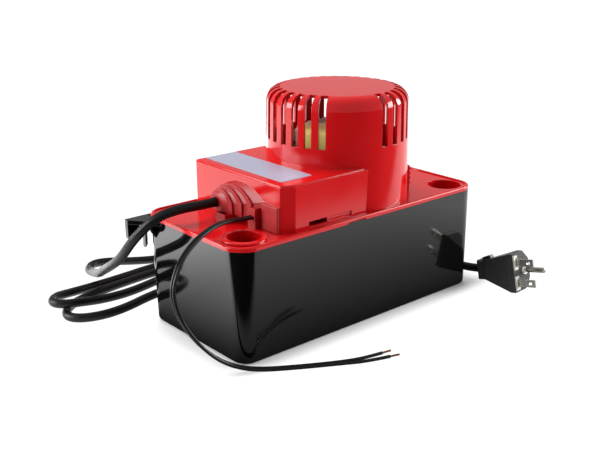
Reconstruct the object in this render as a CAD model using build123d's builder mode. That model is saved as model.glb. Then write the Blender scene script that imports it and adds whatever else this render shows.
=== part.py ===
from build123d import *
import os
from math import atan, cos, degrees, pi, radians, sin, sqrt, tan

# Condensate pump. Millimetres, +Z up, floor at z = 0.
# The origin is on the floor, under the middle of the tank; +X runs towards the motor end
# and -Y is the long front face.

# Tank and lid
lid_length = 261.0
lid_width = 124.0
lid_corner = 17.0
lid_height = 91.3          # top of the rolled bead round the lid
lid_plate = 2.4
bead_height = 0.9
bead_width = 2.8
band_height = 3.5          # outer band, just lapping the tank's rim
band_wall = 1.8
tank_wall = 2.2
tank_draft = 1.8           # degrees
tank_foot_round = 4.0
lid_gap = 0.15             # between the lid's band and the tank's rim
locating_rib = 1.6
locating_drop = 4.0
rib_clearance = 2.0        # round each inlet, where the rib stops short
notch_x = -14.5
notch_wide = 19.0
notch_rise = 1.4

# Wall-hanging ears
ear_back = 61.7            # plane of the ears' back faces
ear_reach = 146.8          # outer end of an ear, from the middle
ear_plate = 4.0
ear_slot = 4.6
ear_slot_x = 133.8
ear_inner_x = 127.0
ear_flange = 3.4
ear_outer_leg_z = 71.0
ear_inner_leg_z = 62.0
ear_front_y = 33.5

# Motor cover
cover_wall = 2.4
box_end = 83.2             # end wall of the box part, from the middle
box_half = 56.0
box_height = 126.7
corner_along = 11.0        # cut corner at the front, along X and along Y
corner_across = 4.6
box_round = 3.0
dome_x = 21.0
dome_radius = 58.0
dome_height = 181.6
dome_round = 11.0
vent_count = 28
vent_width = 5.9
vent_foot = 141.6
vent_tip = 46.7
vent_first = 266.5         # degrees, the first slot after the closed panel
vent_sweep = 309.0         # degrees, from the first slot to the last
edge_step = 1.2            # double bead round the box's top
hood_y = -6.0              # middle of the cord hood where it meets the wall
hood_half = 28.0
hood_rise = 30.4
hood_foot = 6.4            # underside of the hood, above the lid
hood_floor = 1.6
hood_crown = 10.0          # rise of its arched top over the straight sides
hood_reach = 11.8          # from the wall to the cord's way out
hood_mouth = 7.2           # half width of the hood at the cord's way out
hood_rib = 1.2
cord_y = 12.0
cord_z = 103.2
tray_y = 0.5
tray_long = 16.0
tray_wide = 12.0
tray_rise = 7.0
shelf_y = -41.5
shelf_wide = 19.0
shelf_rise = 20.5
shelf_proud = 2.5
lead_y = -26.3
lead_z = 99.0
lead_pitch = 2.8
outlet_wide = 9.0
outlet_rise = 16.0
lug_turn = -28.0           # degrees
lug_wide = 9.0
lug_rise = 21.0
tooth_rise = 1.2
dome_flare = 1.6           # how far the dome's foot stands out from its top
foot_slot_x = -37.0        # recess along the foot of the front wall
foot_slot_wide = 44.0
foot_slot_rise = 4.0
foot_slot_z = 92.0
foot_slot_open = 19.0      # the part of it that goes through the wall

# Inlets
inlet_x = 110.0
inlet_y = 42.8
inlet_radius = 14.3
collar_bore = 12.6
collar_rim = 16.8
collar_rise = 2.6
collar_depth = 12.0

# Motor
motor_turn = 28.0          # degrees, turn of the coil away from the box
shaft_radius = 2.5
shaft_gap = 0.05
core_base = 121.0
core_stack = 25.0
core_front = 26.0          # from the shaft to the core's plain end
core_back = 40.5           # from the shaft to the back of the coil's leg
core_half = 29.0
leg_width = 13.0
window_half = 17.5
window_depth = 10.5
rotor_radius = 13.5
air_gap = 0.4
coil_build = 7.2           # copper and tape round the leg
bobbin_wall = 1.2
bracket_sheet = 1.6
bracket_rise = 5.0
bearing_radius = 6.0
bearing_length = 8.0
bolt_radius = 1.75
bolt_gap = 0.25
bolt_u = 18.0
bolt_v = 25.0
post_radius = 4.6

# Pump
column_radius = 13.0
column_wall = 2.4
column_flange = 23.0
volute_radius = 29.0
volute_base = 10.0
volute_height = 15.0
volute_wall = 2.2
impeller_radius = 20.0
impeller_height = 6.5
impeller_blades = 6
eye_radius = 8.0
foot_count = 4
spigot_radius = 4.75
tube_wall = 1.7
tube_gap = 0.05
tube_bend = 16.0
valve_x = 92.0
valve_y = 20.0

# Check valve
valve_radius = 9.0
valve_flange = 12.5
valve_rise = 18.0
barb_length = 20.0
valve_bore = 3.2
ball_radius = 4.4
ball_lift = 3.0
chamber_radius = 5.6

# Float and switches
float_length = 60.0
float_width = 84.0
float_thick = 24.0
float_x = -52.0
float_rest = 22.0          # underside of the float with the tank drained
float_lift = 10.0
rod_radius = 2.0
rod_x = -34.0
rod_y = 28.0
lever_length = 42.0        # from the lever's hinge to the rod
lever_slope = 0.26         # fall of a lever over its length, at rest
lever_sheet = 0.5
lever_width = 4.0
switch_length = 27.8
switch_width = 10.3
switch_tall = 15.9
switch_base = 108.0
hinge_drop = 1.5
button_x = 6.0             # from the lever's hinge
button_radius = 1.5
touch_gap = 0.3
bracket_wall = 1.6

# Cords and plug
cord_radius = 3.75
lead_radius = 1.3
bushing_radius = 4.4
bushing_length = 6.0
cap_radius = 4.6
cap_length = 16.0
tip_radius = 0.8
tip_length = 8.0
plug_rear = (145.4, -62.7, 8.85)
plug_across = (0.9982, 0.0603, 0.0)
plug_along = (0.0589, -0.9742, 0.2176)
plug_length = 42.0
plug_front_tall = 34.5
plug_front_wide = 24.0
plug_rear_tall = 16.0
plug_rear_wide = 11.0
plug_collar = 5.0
blade_across = -7.4        # the blades' plane, from the plug's middle
blade_pitch = 18.3
blade_width = 6.35
blade_sheet = 1.5
blade_length = 17.5
blade_root = 8.0           # how deep a blade sits in the body
pin_across = 4.5
pin_radius = 2.4
pin_length = 21.0
insert_sheet = 1.2

plate_top = lid_height - bead_height
plate_under = plate_top - lid_plate
tank_rim = plate_under
band_foot = lid_height - band_height
rim_length = lid_length - 2 * (band_wall + lid_gap)
rim_width = lid_width - 2 * (band_wall + lid_gap)
rim_corner = lid_corner - band_wall - lid_gap
draft_run = tank_rim * tan(radians(tank_draft))
foot_length = rim_length - 2 * draft_run
foot_width = rim_width - 2 * draft_run
foot_corner = rim_corner - draft_run
os.makedirs("parts", exist_ok=True)


def save(builder, name):
    """Label one finished piece and write it as its own STEP file."""
    builder.part.label = name
    export_step(builder.part, f"parts/{name}.step")


# ---------------------------------------------------------------- tank
ear_top = tank_rim
with BuildPart() as tank:
    with BuildSketch():
        RectangleRounded(foot_length, foot_width, foot_corner)
    extrude(amount=tank_rim, taper=-tank_draft)
    fillet(tank.edges().group_by(Axis.Z)[0], radius=tank_foot_round)
    with BuildSketch(Plane.XY.offset(tank_wall)):
        RectangleRounded(foot_length - 2 * tank_wall, foot_width - 2 * tank_wall, foot_corner - tank_wall)
    extrude(amount=tank_rim, taper=-tank_draft, mode=Mode.SUBTRACT)
    for side in (-1, 1):
        wall_x = side * (rim_length / 2 - tank_wall / 2)
        with BuildSketch(Plane.XY.offset(ear_top - ear_flange)):
            with BuildLine():
                Polyline(
                    (wall_x, ear_front_y),
                    (side * ear_reach, ear_back - ear_plate),
                    (side * ear_reach, ear_back),
                    (side * (rim_length / 2 - foot_corner / 2), ear_back),
                    (side * (rim_length / 2 - foot_corner / 2), ear_back - ear_plate),
                    (wall_x, ear_back - foot_corner),
                    close=True,
                )
            make_face()
        extrude(amount=ear_flange)
        with BuildSketch(Plane.XZ.offset(-ear_back)):
            with BuildLine():
                Polyline(
                    (side * ear_inner_x, ear_inner_leg_z + 2),
                    (side * (ear_inner_x + 2), ear_inner_leg_z),
                    (side * (ear_slot_x - ear_slot / 2), ear_inner_leg_z),
                    (side * (ear_slot_x - ear_slot / 2), ear_top - ear_flange - 1),
                    (side * (ear_slot_x + ear_slot / 2), ear_top - ear_flange - 1),
                    (side * (ear_slot_x + ear_slot / 2), ear_outer_leg_z),
                    (side * (ear_reach - 2), ear_outer_leg_z),
                    (side * ear_reach, ear_outer_leg_z + 2),
                    (side * ear_reach, ear_top),
                    (side * ear_inner_x, ear_top),
                    close=True,
                )
            make_face()
        extrude(amount=ear_plate)
        with BuildSketch(Plane.XZ.offset(-ear_front_y - 12)):
            with BuildLine():
                Polyline(
                    (wall_x, ear_top - ear_flange),
                    (side * (ear_reach - 9), ear_top - ear_flange),
                    (wall_x, ear_top - ear_flange - 12),
                    close=True,
                )
            make_face()
        extrude(amount=3)
    with BuildSketch(Plane.XY.offset(band_foot - 0.3)):
        RectangleRounded(lid_length + 0.6, lid_width + 0.6, lid_corner + 0.3)
        RectangleRounded(rim_length, rim_width, rim_corner, mode=Mode.SUBTRACT)
    extrude(amount=tank_rim, mode=Mode.SUBTRACT)
save(tank, "tank")

# ---------------------------------------------------------------- lid
u_axis = Vector(cos(radians(motor_turn)), sin(radians(motor_turn)))
v_axis = Vector(-sin(radians(motor_turn)), cos(radians(motor_turn)))


def motor_point(u, v):
    """A place in the motor's own turned axes, as X and Y."""
    return (dome_x + u * u_axis.X + v * v_axis.X, u * u_axis.Y + v * v_axis.Y)


bolt_points = [motor_point(u, v) for u in (-bolt_u, bolt_u) for v in (-bolt_v, bolt_v)]
post_top = core_base - bracket_sheet
screw_radius = 1.5
screw_points = [(dome_x + 18 * cos(a), 18 * sin(a)) for a in (0, 2 * pi / 3, 4 * pi / 3)]
bracket_drop = 6.0
bracket_points = [(rod_x - 36, rod_y + 7), (rod_x - 22, rod_y + 7)]
guide_drop = 10.0
guide_rise = 1.4
guide_radius = 5.0
with BuildPart() as lid:
    with BuildSketch(Plane.XY.offset(band_foot)):
        RectangleRounded(lid_length, lid_width, lid_corner)
    extrude(amount=band_height)
    fillet(lid.edges().group_by(Axis.Z)[-1], radius=1.2)
    with BuildSketch(Plane.XY.offset(plate_top)):
        RectangleRounded(lid_length - 2 * bead_width, lid_width - 2 * bead_width, lid_corner - bead_width)
    extrude(amount=bead_height, mode=Mode.SUBTRACT)
    with BuildSketch(Plane.XY.offset(band_foot)):
        RectangleRounded(rim_length + 2 * lid_gap, rim_width + 2 * lid_gap, rim_corner + lid_gap)
    extrude(amount=plate_under - band_foot, mode=Mode.SUBTRACT)
    rib_length = rim_length - 2 * (tank_wall + 2 * lid_gap)
    rib_width = rim_width - 2 * (tank_wall + 2 * lid_gap)
    rib_corner = rim_corner - tank_wall - 2 * lid_gap
    with BuildSketch(Plane.XY.offset(plate_under - locating_drop)):
        RectangleRounded(rib_length, rib_width, rib_corner)
        RectangleRounded(
            rib_length - 2 * locating_rib,
            rib_width - 2 * locating_rib,
            rib_corner - locating_rib,
            mode=Mode.SUBTRACT,
        )
    extrude(amount=locating_drop)
    with BuildSketch(Plane.XY.offset(plate_under - locating_drop)):
        with Locations((-inlet_x, -inlet_y), (inlet_x, -inlet_y)):
            Circle(inlet_radius + rib_clearance)
    extrude(amount=locating_drop, mode=Mode.SUBTRACT)
    # Finger notch in the front of the band
    with Locations((notch_x, -lid_width / 2, band_foot)):
        Box(
            notch_wide,
            2 * band_wall,
            notch_rise,
            align=(Align.CENTER, Align.CENTER, Align.MIN),
            mode=Mode.SUBTRACT,
        )
    with BuildSketch(Plane.XY.offset(plate_top)):
        with Locations(*bolt_points):
            Circle(post_radius)
    extrude(amount=post_top - plate_top)
    with BuildSketch(Plane.XY.offset(plate_under - guide_drop)):
        with Locations((rod_x, rod_y)):
            Circle(guide_radius)
    extrude(amount=plate_top + guide_rise - plate_under + guide_drop)
    with BuildSketch(Plane.XY.offset(plate_under - bracket_drop)):
        with Locations(*bracket_points):
            Circle(screw_radius + 2.0)
    extrude(amount=bracket_drop)
    with BuildSketch(Plane.XY.offset(plate_under - guide_drop)):
        with Locations((rod_x, rod_y)):
            Circle(rod_radius + shaft_gap)
        with Locations((-inlet_x, -inlet_y), (inlet_x, -inlet_y)):
            Circle(inlet_radius)
        with Locations((dome_x, 0)):
            Circle(column_radius - column_wall)
        with Locations((valve_x, valve_y)):
            Circle(spigot_radius + 1.5)
        with Locations(*screw_points):
            Circle(screw_radius + bolt_gap)
        with Locations(*bracket_points):
            Circle(screw_radius)
    extrude(amount=post_top, mode=Mode.SUBTRACT)
    with BuildSketch(Plane.XY.offset(post_top - 22)):
        with Locations(*bolt_points):
            Circle(bolt_radius + bolt_gap)
    extrude(amount=22, mode=Mode.SUBTRACT)
save(lid, "lid")

# ---------------------------------------------------------------- inlet collar
with BuildPart() as inlet_collar:
    with BuildSketch(Plane.XY.offset(plate_top)):
        with Locations((-inlet_x, -inlet_y)):
            Circle(collar_rim)
    extrude(amount=collar_rise)
    fillet(inlet_collar.edges().group_by(Axis.Z)[-1], radius=0.8)
    with BuildSketch(Plane.XY.offset(plate_top - collar_depth)):
        with Locations((-inlet_x, -inlet_y)):
            Circle(inlet_radius - shaft_gap)
    extrude(amount=collar_depth)
    with BuildSketch(Plane.XY.offset(plate_top - collar_depth)):
        with Locations((-inlet_x, -inlet_y)):
            Circle(collar_bore)
    extrude(amount=collar_depth + collar_rise, mode=Mode.SUBTRACT)
save(inlet_collar, "inlet_collar")

# ---------------------------------------------------------------- motor cover
def hood_profile(way, shrink):
    """The cord hood's arch, with way 0 at the wall and 1 at the cord's way out."""
    half = hood_half + way * (hood_mouth - hood_half) - shrink
    top = hood_rise + way * (cord_z - plate_top + hood_mouth - hood_rise) - shrink
    foot = hood_foot + min(shrink, hood_floor)
    spring = top - min(half, hood_crown)
    middle = hood_y + way * (cord_y - hood_y)
    plane = Plane((-box_end - way * hood_reach, middle, plate_top), x_dir=(0, -1, 0), z_dir=(-1, 0, 0))
    with BuildSketch(plane) as arch:
        with BuildLine():
            Polyline((-half, spring), (-half, foot), (half, foot), (half, spring))
            ThreePointArc((half, spring), (0, top), (-half, spring))
        make_face()
    return arch.sketch


with BuildPart() as hood:
    loft([hood_profile(0, 0), hood_profile(1, 0)])
    for way in (0.3, 0.52, 0.74):
        extrude(hood_profile(way, -1), amount=hood_rib)
with BuildPart() as hood_space:
    loft([hood_profile(-0.4, cover_wall), hood_profile(0.85, cover_wall)])
with BuildPart() as shelf:
    with Locations((-box_end, shelf_y, plate_top)):
        Box(2 * shelf_proud, shelf_wide, shelf_rise, align=(Align.CENTER, Align.CENTER, Align.MIN))
    fillet(shelf.edges().group_by(Axis.X)[0], radius=0.8)
dome_draft = degrees(atan(dome_flare / (dome_height - plate_top)))
with BuildPart() as dome_space:
    with BuildSketch(Plane.XY.offset(plate_top)):
        with Locations((dome_x, 0)):
            Circle(dome_radius + dome_flare - cover_wall)
    extrude(amount=dome_height - cover_wall - plate_top, taper=dome_draft)
    fillet(dome_space.edges().group_by(Axis.Z)[-1], radius=dome_round - cover_wall)

wall_plane = Plane((-box_end - hood_reach - cover_wall, 0, 0), x_dir=(0, 1, 0), z_dir=(1, 0, 0))
with BuildPart() as motor_cover:
    box_steps = ((0, plate_top, box_height - edge_step), (edge_step, box_height - edge_step, box_height))
    for inset, low, high in box_steps:
        with BuildSketch(Plane.XY.offset(low)):
            with BuildLine():
                Polyline(
                    (dome_x, -box_half + inset),
                    (-box_end + corner_along, -box_half + inset),
                    (-box_end + inset, -box_half + corner_across + inset / 2),
                    (-box_end + inset, box_half - inset),
                    (dome_x, box_half - inset),
                    close=True,
                )
            make_face()
        extrude(amount=high - low)
    back_corner = motor_cover.edges().filter_by(Axis.Z).group_by(Axis.Y)[-1].group_by(Axis.X)[0]
    fillet(back_corner, radius=box_round)
    box_rim = motor_cover.edges().group_by(Axis.Z)[-1].filter_by_position(Axis.X, -box_end - 1, dome_x - 1)
    fillet(box_rim, radius=0.9)
    add(hood.part)
    add(shelf.part)
    # Outlet block of the twin leads
    with Locations((-box_end, lead_y, plate_top)):
        Box(14, outlet_wide, outlet_rise, align=(Align.CENTER, Align.CENTER, Align.MIN))
    # The dome
    with BuildSketch(Plane.XY.offset(plate_top)):
        with Locations((dome_x, 0)):
            Circle(dome_radius + dome_flare)
    extrude(amount=dome_height - plate_top, taper=dome_draft)
    fillet(motor_cover.edges().group_by(Axis.Z)[-1], radius=dome_round)
    # Latch lug at the motor end, with its row of teeth
    with Locations(Location((dome_x, 0, plate_top), (0, 0, lug_turn))):
        with Locations((dome_radius + dome_flare, 0, 0)):
            Box(8, lug_wide, lug_rise, align=(Align.CENTER, Align.CENTER, Align.MIN))
        with Locations(*[(dome_radius + dome_flare + 4.5, 0, rise) for rise in (6, 10, 14, 18)]):
            Box(3, lug_wide / 2, tooth_rise)
    # Hollow inside
    with BuildSketch(Plane.XY.offset(plate_top)):
        with BuildLine():
            Polyline(
                (dome_x, -box_half + cover_wall),
                (-box_end + corner_along, -box_half + cover_wall),
                (-box_end + cover_wall, -box_half + corner_across + cover_wall),
                (-box_end + cover_wall, box_half - cover_wall),
                (dome_x, box_half - cover_wall),
                close=True,
            )
        make_face()
    extrude(amount=box_height - cover_wall - plate_top, mode=Mode.SUBTRACT)
    add(dome_space.part, mode=Mode.SUBTRACT)
    add(hood_space.part, mode=Mode.SUBTRACT)
    # Recess along the foot of the front wall, open at its outer end
    foot_slots = ((foot_slot_x, foot_slot_wide, 1), (foot_slot_x - (foot_slot_wide - foot_slot_open) / 2, foot_slot_open, 4))
    for middle, wide, deep in foot_slots:
        with Locations((middle, -box_half, foot_slot_z)):
            Box(
                wide,
                2 * deep,
                foot_slot_rise,
                align=(Align.CENTER, Align.CENTER, Align.MIN),
                mode=Mode.SUBTRACT,
            )
    # Small tray in front of the cord
    with BuildSketch(Plane.XY.offset(plate_top)):
        with Locations((-box_end - tray_long / 2, tray_y)):
            Rectangle(tray_long, tray_wide)
    extrude(amount=tray_rise - cover_wall)
    with BuildSketch(Plane.XY.offset(plate_top)):
        with Locations((-box_end - tray_long / 2, tray_y)):
            Rectangle(tray_long, tray_wide)
            Rectangle(tray_long - 2, tray_wide - 2, mode=Mode.SUBTRACT)
    extrude(amount=tray_rise)
    # Cooling slots that wrap over the dome's rounded edge
    vent_length = dome_radius + 4 - vent_tip
    with Locations((dome_x, 0, vent_foot)):
        with PolarLocations(vent_tip + vent_length / 2, vent_count, vent_first, vent_sweep, endpoint=True):
            Box(
                vent_length,
                vent_width,
                dome_height - vent_foot + 1,
                align=(Align.CENTER, Align.CENTER, Align.MIN),
                mode=Mode.SUBTRACT,
            )
    # Mains cord and lead holes
    with BuildSketch(wall_plane):
        with Locations((cord_y, cord_z)):
            Circle(cord_radius + touch_gap)
        with Locations((lead_y - lead_pitch / 2, lead_z), (lead_y + lead_pitch / 2, lead_z)):
            Circle(lead_radius + touch_gap)
    extrude(amount=hood_reach + 3 * cover_wall, mode=Mode.SUBTRACT)
save(motor_cover, "motor_cover")

# ---------------------------------------------------------------- rating plate
with BuildPart() as rating_plate:
    with BuildSketch(Plane.XY.offset(box_height)):
        with Locations((-59.5, 5)):
            RectangleRounded(30, 96, 1.5)
    extrude(amount=0.3)
save(rating_plate, "rating_plate")


# ---------------------------------------------------------------- motor
def motor_plane(z):
    return Plane((dome_x, 0, z), x_dir=(u_axis.X, u_axis.Y, 0), z_dir=(0, 0, 1))


core_top = core_base + core_stack
core_mid = core_base + core_stack / 2
bore_radius = rotor_radius + air_gap
leg_u = -core_back + leg_width / 2
with BuildPart() as stator_core:
    with BuildSketch(motor_plane(core_base)):
        with Locations(((core_front - core_back) / 2, 0)):
            RectangleRounded(core_front + core_back, 2 * core_half, 3)
        with Locations((-core_back + leg_width + window_depth / 2, 0)):
            Rectangle(window_depth, 2 * window_half, mode=Mode.SUBTRACT)
        Circle(bore_radius, mode=Mode.SUBTRACT)
        with Locations(*[(u, v) for u in (-bolt_u, bolt_u) for v in (-bolt_v, bolt_v)]):
            Circle(bolt_radius + bolt_gap, mode=Mode.SUBTRACT)
    extrude(amount=core_stack)
save(stator_core, "stator_core")

coil_plane = Plane(
    (dome_x + leg_u * u_axis.X, leg_u * u_axis.Y, core_mid),
    x_dir=(u_axis.X, u_axis.Y, 0),
    z_dir=(v_axis.X, v_axis.Y, 0),
)
bobbin_half = window_half - 0.3
bobbin_flange = 1.2
former_u = leg_width + 2 * bobbin_wall + 0.2
former_z = core_stack + 2 * bobbin_wall + 0.2
coil_u = former_u + 2 * coil_build
coil_z = former_z + 2 * coil_build
with BuildPart() as bobbin:
    with BuildSketch(coil_plane.offset(-bobbin_half)):
        Rectangle(former_u, former_z)
    extrude(amount=2 * bobbin_half)
    with BuildSketch(coil_plane.offset(-bobbin_half), coil_plane.offset(bobbin_half - bobbin_flange)):
        RectangleRounded(coil_u + 1, coil_z + 1, 2)
    extrude(amount=bobbin_flange)
    with BuildSketch(coil_plane.offset(-bobbin_half)):
        Rectangle(leg_width + 0.2, core_stack + 0.2)
    extrude(amount=2 * bobbin_half, mode=Mode.SUBTRACT)
save(bobbin, "bobbin")

with BuildPart() as coil:
    with BuildSketch(coil_plane.offset(-bobbin_half + bobbin_flange)):
        RectangleRounded(coil_u, coil_z, 5)
        Rectangle(former_u, former_z, mode=Mode.SUBTRACT)
    extrude(amount=2 * (bobbin_half - bobbin_flange))
save(coil, "coil")

leg_plane = Plane(
    (dome_x - 10 * u_axis.X, -10 * u_axis.Y, 0),
    x_dir=(v_axis.X, v_axis.Y, 0),
    z_dir=(u_axis.X, u_axis.Y, 0),
)
for name, foot, rise in (("upper_bracket", core_top, 1), ("lower_bracket", core_base, -1)):
    low = foot if rise > 0 else foot - bracket_sheet
    shelf_z = low + rise * bracket_rise
    with BuildPart() as bracket:
        with BuildSketch(motor_plane(low)):
            with Locations((0, -bolt_v), (0, bolt_v)):
                Rectangle(2 * bolt_u + 9, 8)
            with Locations(*[(u, v) for u in (-bolt_u, bolt_u) for v in (-bolt_v, bolt_v)]):
                Circle(bolt_radius + bolt_gap, mode=Mode.SUBTRACT)
        extrude(amount=bracket_sheet)
        with BuildSketch(motor_plane(shelf_z)):
            Rectangle(20, 30)
            Circle(bearing_radius, mode=Mode.SUBTRACT)
        extrude(amount=bracket_sheet)
        for side in (-1, 1):
            with BuildSketch(leg_plane):
                with BuildLine():
                    Polyline(
                        (side * 14.5, shelf_z),
                        (side * 14.5, shelf_z + bracket_sheet),
                        (side * 21.5, low + bracket_sheet),
                        (side * 21.5, low),
                        close=True,
                    )
                make_face()
            extrude(amount=20)
    save(bracket, name)

bearing_z = {
    "upper_bearing": core_top + bracket_rise + bracket_sheet / 2,
    "lower_bearing": core_base - bracket_rise - bracket_sheet / 2,
}
for name, middle in bearing_z.items():
    with BuildPart() as bearing:
        with BuildSketch(Plane.XY.offset(middle - bearing_length / 2)):
            with Locations((dome_x, 0)):
                Circle(bearing_radius)
                Circle(shaft_radius + shaft_gap, mode=Mode.SUBTRACT)
        extrude(amount=bearing_length)
    save(bearing, name)

with BuildPart() as motor_bolts:
    with BuildSketch(Plane.XY.offset(core_top + bracket_sheet)):
        with Locations(*bolt_points):
            RegularPolygon(3.4, 6)
    extrude(amount=2.2)
    with BuildSketch(Plane.XY.offset(post_top - 20)):
        with Locations(*bolt_points):
            Circle(bolt_radius)
    extrude(amount=core_top + bracket_sheet - post_top + 20)
save(motor_bolts, "motor_bolts")

with BuildPart() as rotor:
    with BuildSketch(Plane.XY.offset(core_base - 1)):
        with Locations((dome_x, 0)):
            Circle(rotor_radius)
            Circle(shaft_radius + shaft_gap, mode=Mode.SUBTRACT)
    extrude(amount=core_stack + 2)
save(rotor, "rotor")

impeller_base = volute_base + volute_wall + 2.0
with BuildPart() as motor_shaft:
    with BuildSketch(Plane.XY.offset(impeller_base)):
        with Locations((dome_x, 0)):
            Circle(shaft_radius)
    extrude(amount=bearing_z["upper_bearing"] + bearing_length / 2 + 2 - impeller_base)
    chamfer(motor_shaft.edges().filter_by(GeomType.CIRCLE), length=0.4)
save(motor_shaft, "motor_shaft")

with BuildPart() as slinger:
    with BuildSketch(Plane.XY.offset(plate_top + 6)):
        with Locations((dome_x, 0)):
            Circle(9.0)
            Circle(shaft_radius + shaft_gap, mode=Mode.SUBTRACT)
    extrude(amount=1.6)
    with BuildSketch(Plane.XY.offset(plate_top + 6)):
        with Locations((dome_x, 0)):
            Circle(4.5)
            Circle(shaft_radius + shaft_gap, mode=Mode.SUBTRACT)
    extrude(amount=5)
save(slinger, "slinger")

# ---------------------------------------------------------------- pump
volute_top = volute_base + volute_height
flange_sheet = 3.0
with BuildPart() as pump_column:
    with BuildSketch(Plane.XY.offset(plate_under - flange_sheet)):
        with Locations((dome_x, 0)):
            Circle(column_flange)
        with Locations(*screw_points):
            Circle(screw_radius, mode=Mode.SUBTRACT)
    extrude(amount=flange_sheet)
    with BuildSketch(Plane.XY.offset(volute_top)):
        with Locations((dome_x, 0)):
            Circle(column_radius)
    extrude(amount=plate_under - volute_top)
    with BuildSketch(Plane.XY.offset(volute_top)):
        with Locations((dome_x, 0)):
            Circle(column_radius - column_wall)
    extrude(amount=plate_under - volute_top, mode=Mode.SUBTRACT)
    with Locations((dome_x, 0, 58)):
        Box(60, 9, 30, mode=Mode.SUBTRACT)
        Box(9, 60, 30, mode=Mode.SUBTRACT)
save(pump_column, "pump_column")

outlet_z = volute_base + volute_height / 2
with BuildPart() as volute_housing:
    with BuildSketch(Plane.XY.offset(volute_base + volute_wall)):
        with Locations((dome_x, 0), (dome_x + 2.5, 2.5)):
            Circle(volute_radius)
    extrude(amount=volute_height - volute_wall)
    with BuildSketch(Plane((dome_x, valve_y, outlet_z), x_dir=(0, 1, 0), z_dir=(1, 0, 0))):
        Circle(spigot_radius)
    extrude(amount=valve_x - tube_bend - 8 - dome_x)
    with BuildSketch(Plane.XY.offset(volute_base + volute_wall)):
        with Locations((dome_x, 0), (dome_x + 2.5, 2.5)):
            Circle(volute_radius - volute_wall)
    extrude(amount=volute_height - 2 * volute_wall, mode=Mode.SUBTRACT)
    with BuildSketch(Plane((dome_x, valve_y, outlet_z), x_dir=(0, 1, 0), z_dir=(1, 0, 0))):
        Circle(valve_bore)
    extrude(amount=valve_x - tube_bend - 8 - dome_x, mode=Mode.SUBTRACT)
    with BuildSketch(Plane.XY.offset(volute_base + volute_wall)):
        with Locations((dome_x, 0)):
            Circle(shaft_radius + 0.8)
    extrude(amount=volute_height, mode=Mode.SUBTRACT)
save(volute_housing, "volute_housing")

foot_drop = volute_base - tank_wall - touch_gap
with BuildPart() as intake_plate:
    with BuildSketch(Plane.XY.offset(volute_base)):
        with Locations((dome_x, 0), (dome_x + 2.5, 2.5)):
            Circle(volute_radius)
        with Locations((dome_x, 0)):
            Circle(eye_radius, mode=Mode.SUBTRACT)
    extrude(amount=volute_wall)
    with BuildSketch(Plane.XY.offset(volute_base - foot_drop)):
        with Locations((dome_x, 0)):
            with PolarLocations(volute_radius - 5, foot_count):
                Circle(2.5)
    extrude(amount=foot_drop)
save(intake_plate, "intake_plate")

with BuildPart() as impeller:
    with BuildSketch(Plane.XY.offset(impeller_base + impeller_height - 1.8)):
        with Locations((dome_x, 0)):
            Circle(impeller_radius)
    extrude(amount=1.8)
    with BuildSketch(Plane.XY.offset(impeller_base)):
        with Locations((dome_x, 0)):
            Circle(5.0)
            with PolarLocations(12.0, impeller_blades):
                Rectangle(14.5, 1.6, rotation=32)
    extrude(amount=impeller_height - 1.8)
    with BuildSketch(Plane.XY.offset(impeller_base)):
        with Locations((dome_x, 0)):
            Circle(shaft_radius + shaft_gap)
    extrude(amount=impeller_height, mode=Mode.SUBTRACT)
save(impeller, "impeller")

with BuildPart() as column_screws:
    with BuildSketch(Plane.XY.offset(plate_top)):
        with Locations(*screw_points):
            Circle(3.0)
    extrude(amount=2.0)
    with BuildSketch(Plane.XY.offset(plate_under - flange_sheet)):
        with Locations(*screw_points):
            Circle(screw_radius - shaft_gap)
    extrude(amount=plate_top - plate_under + flange_sheet)
save(column_screws, "column_screws")

# ---------------------------------------------------------------- discharge
gasket = 1.0
valve_flange_z = plate_top + gasket
valve_flange_sheet = 3.0
seat_z = valve_flange_z + valve_flange_sheet + 2.6
neck_drop = 5.0
nut_height = 4.6
spigot_drop = 17.0
tube_top = plate_under - neck_drop - 1
with BuildPart() as discharge_tube:
    with BuildLine() as tube_line:
        FilletPolyline(
            (valve_x - tube_bend - 18, valve_y, outlet_z),
            (valve_x, valve_y, outlet_z),
            (valve_x, valve_y, tube_top),
            radius=tube_bend,
        )
    with BuildSketch(Plane((valve_x - tube_bend - 18, valve_y, outlet_z), x_dir=(0, 1, 0), z_dir=(1, 0, 0))):
        Circle(spigot_radius + tube_gap + tube_wall)
        Circle(spigot_radius + tube_gap, mode=Mode.SUBTRACT)
    sweep()
save(discharge_tube, "discharge_tube")

with BuildPart() as valve_base:
    with BuildSketch(Plane.XY.offset(plate_under - spigot_drop)):
        with Locations((valve_x, valve_y)):
            Circle(spigot_radius)
    extrude(amount=spigot_drop)
    with BuildSketch(Plane.XY.offset(plate_under - neck_drop)):
        with Locations((valve_x, valve_y)):
            Circle(spigot_radius + 1.3)
    extrude(amount=valve_flange_z - plate_under + neck_drop)
    with BuildSketch(Plane.XY.offset(valve_flange_z)):
        with Locations((valve_x, valve_y)):
            Circle(valve_flange)
    extrude(amount=valve_flange_sheet)
    with BuildSketch(Plane.XY.offset(valve_flange_z + valve_flange_sheet)):
        with Locations((valve_x, valve_y)):
            Circle(valve_radius)
    extrude(amount=seat_z - valve_flange_z - valve_flange_sheet)
    with BuildSketch(Plane.XY.offset(plate_under - spigot_drop)):
        with Locations((valve_x, valve_y)):
            Circle(valve_bore)
    extrude(amount=60, mode=Mode.SUBTRACT)
save(valve_base, "valve_base")

with BuildPart() as valve_gasket:
    with BuildSketch(Plane.XY.offset(plate_top)):
        with Locations((valve_x, valve_y)):
            Circle(valve_flange - 1)
            Circle(spigot_radius + 1.5, mode=Mode.SUBTRACT)
    extrude(amount=gasket)
save(valve_gasket, "valve_gasket")

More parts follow.
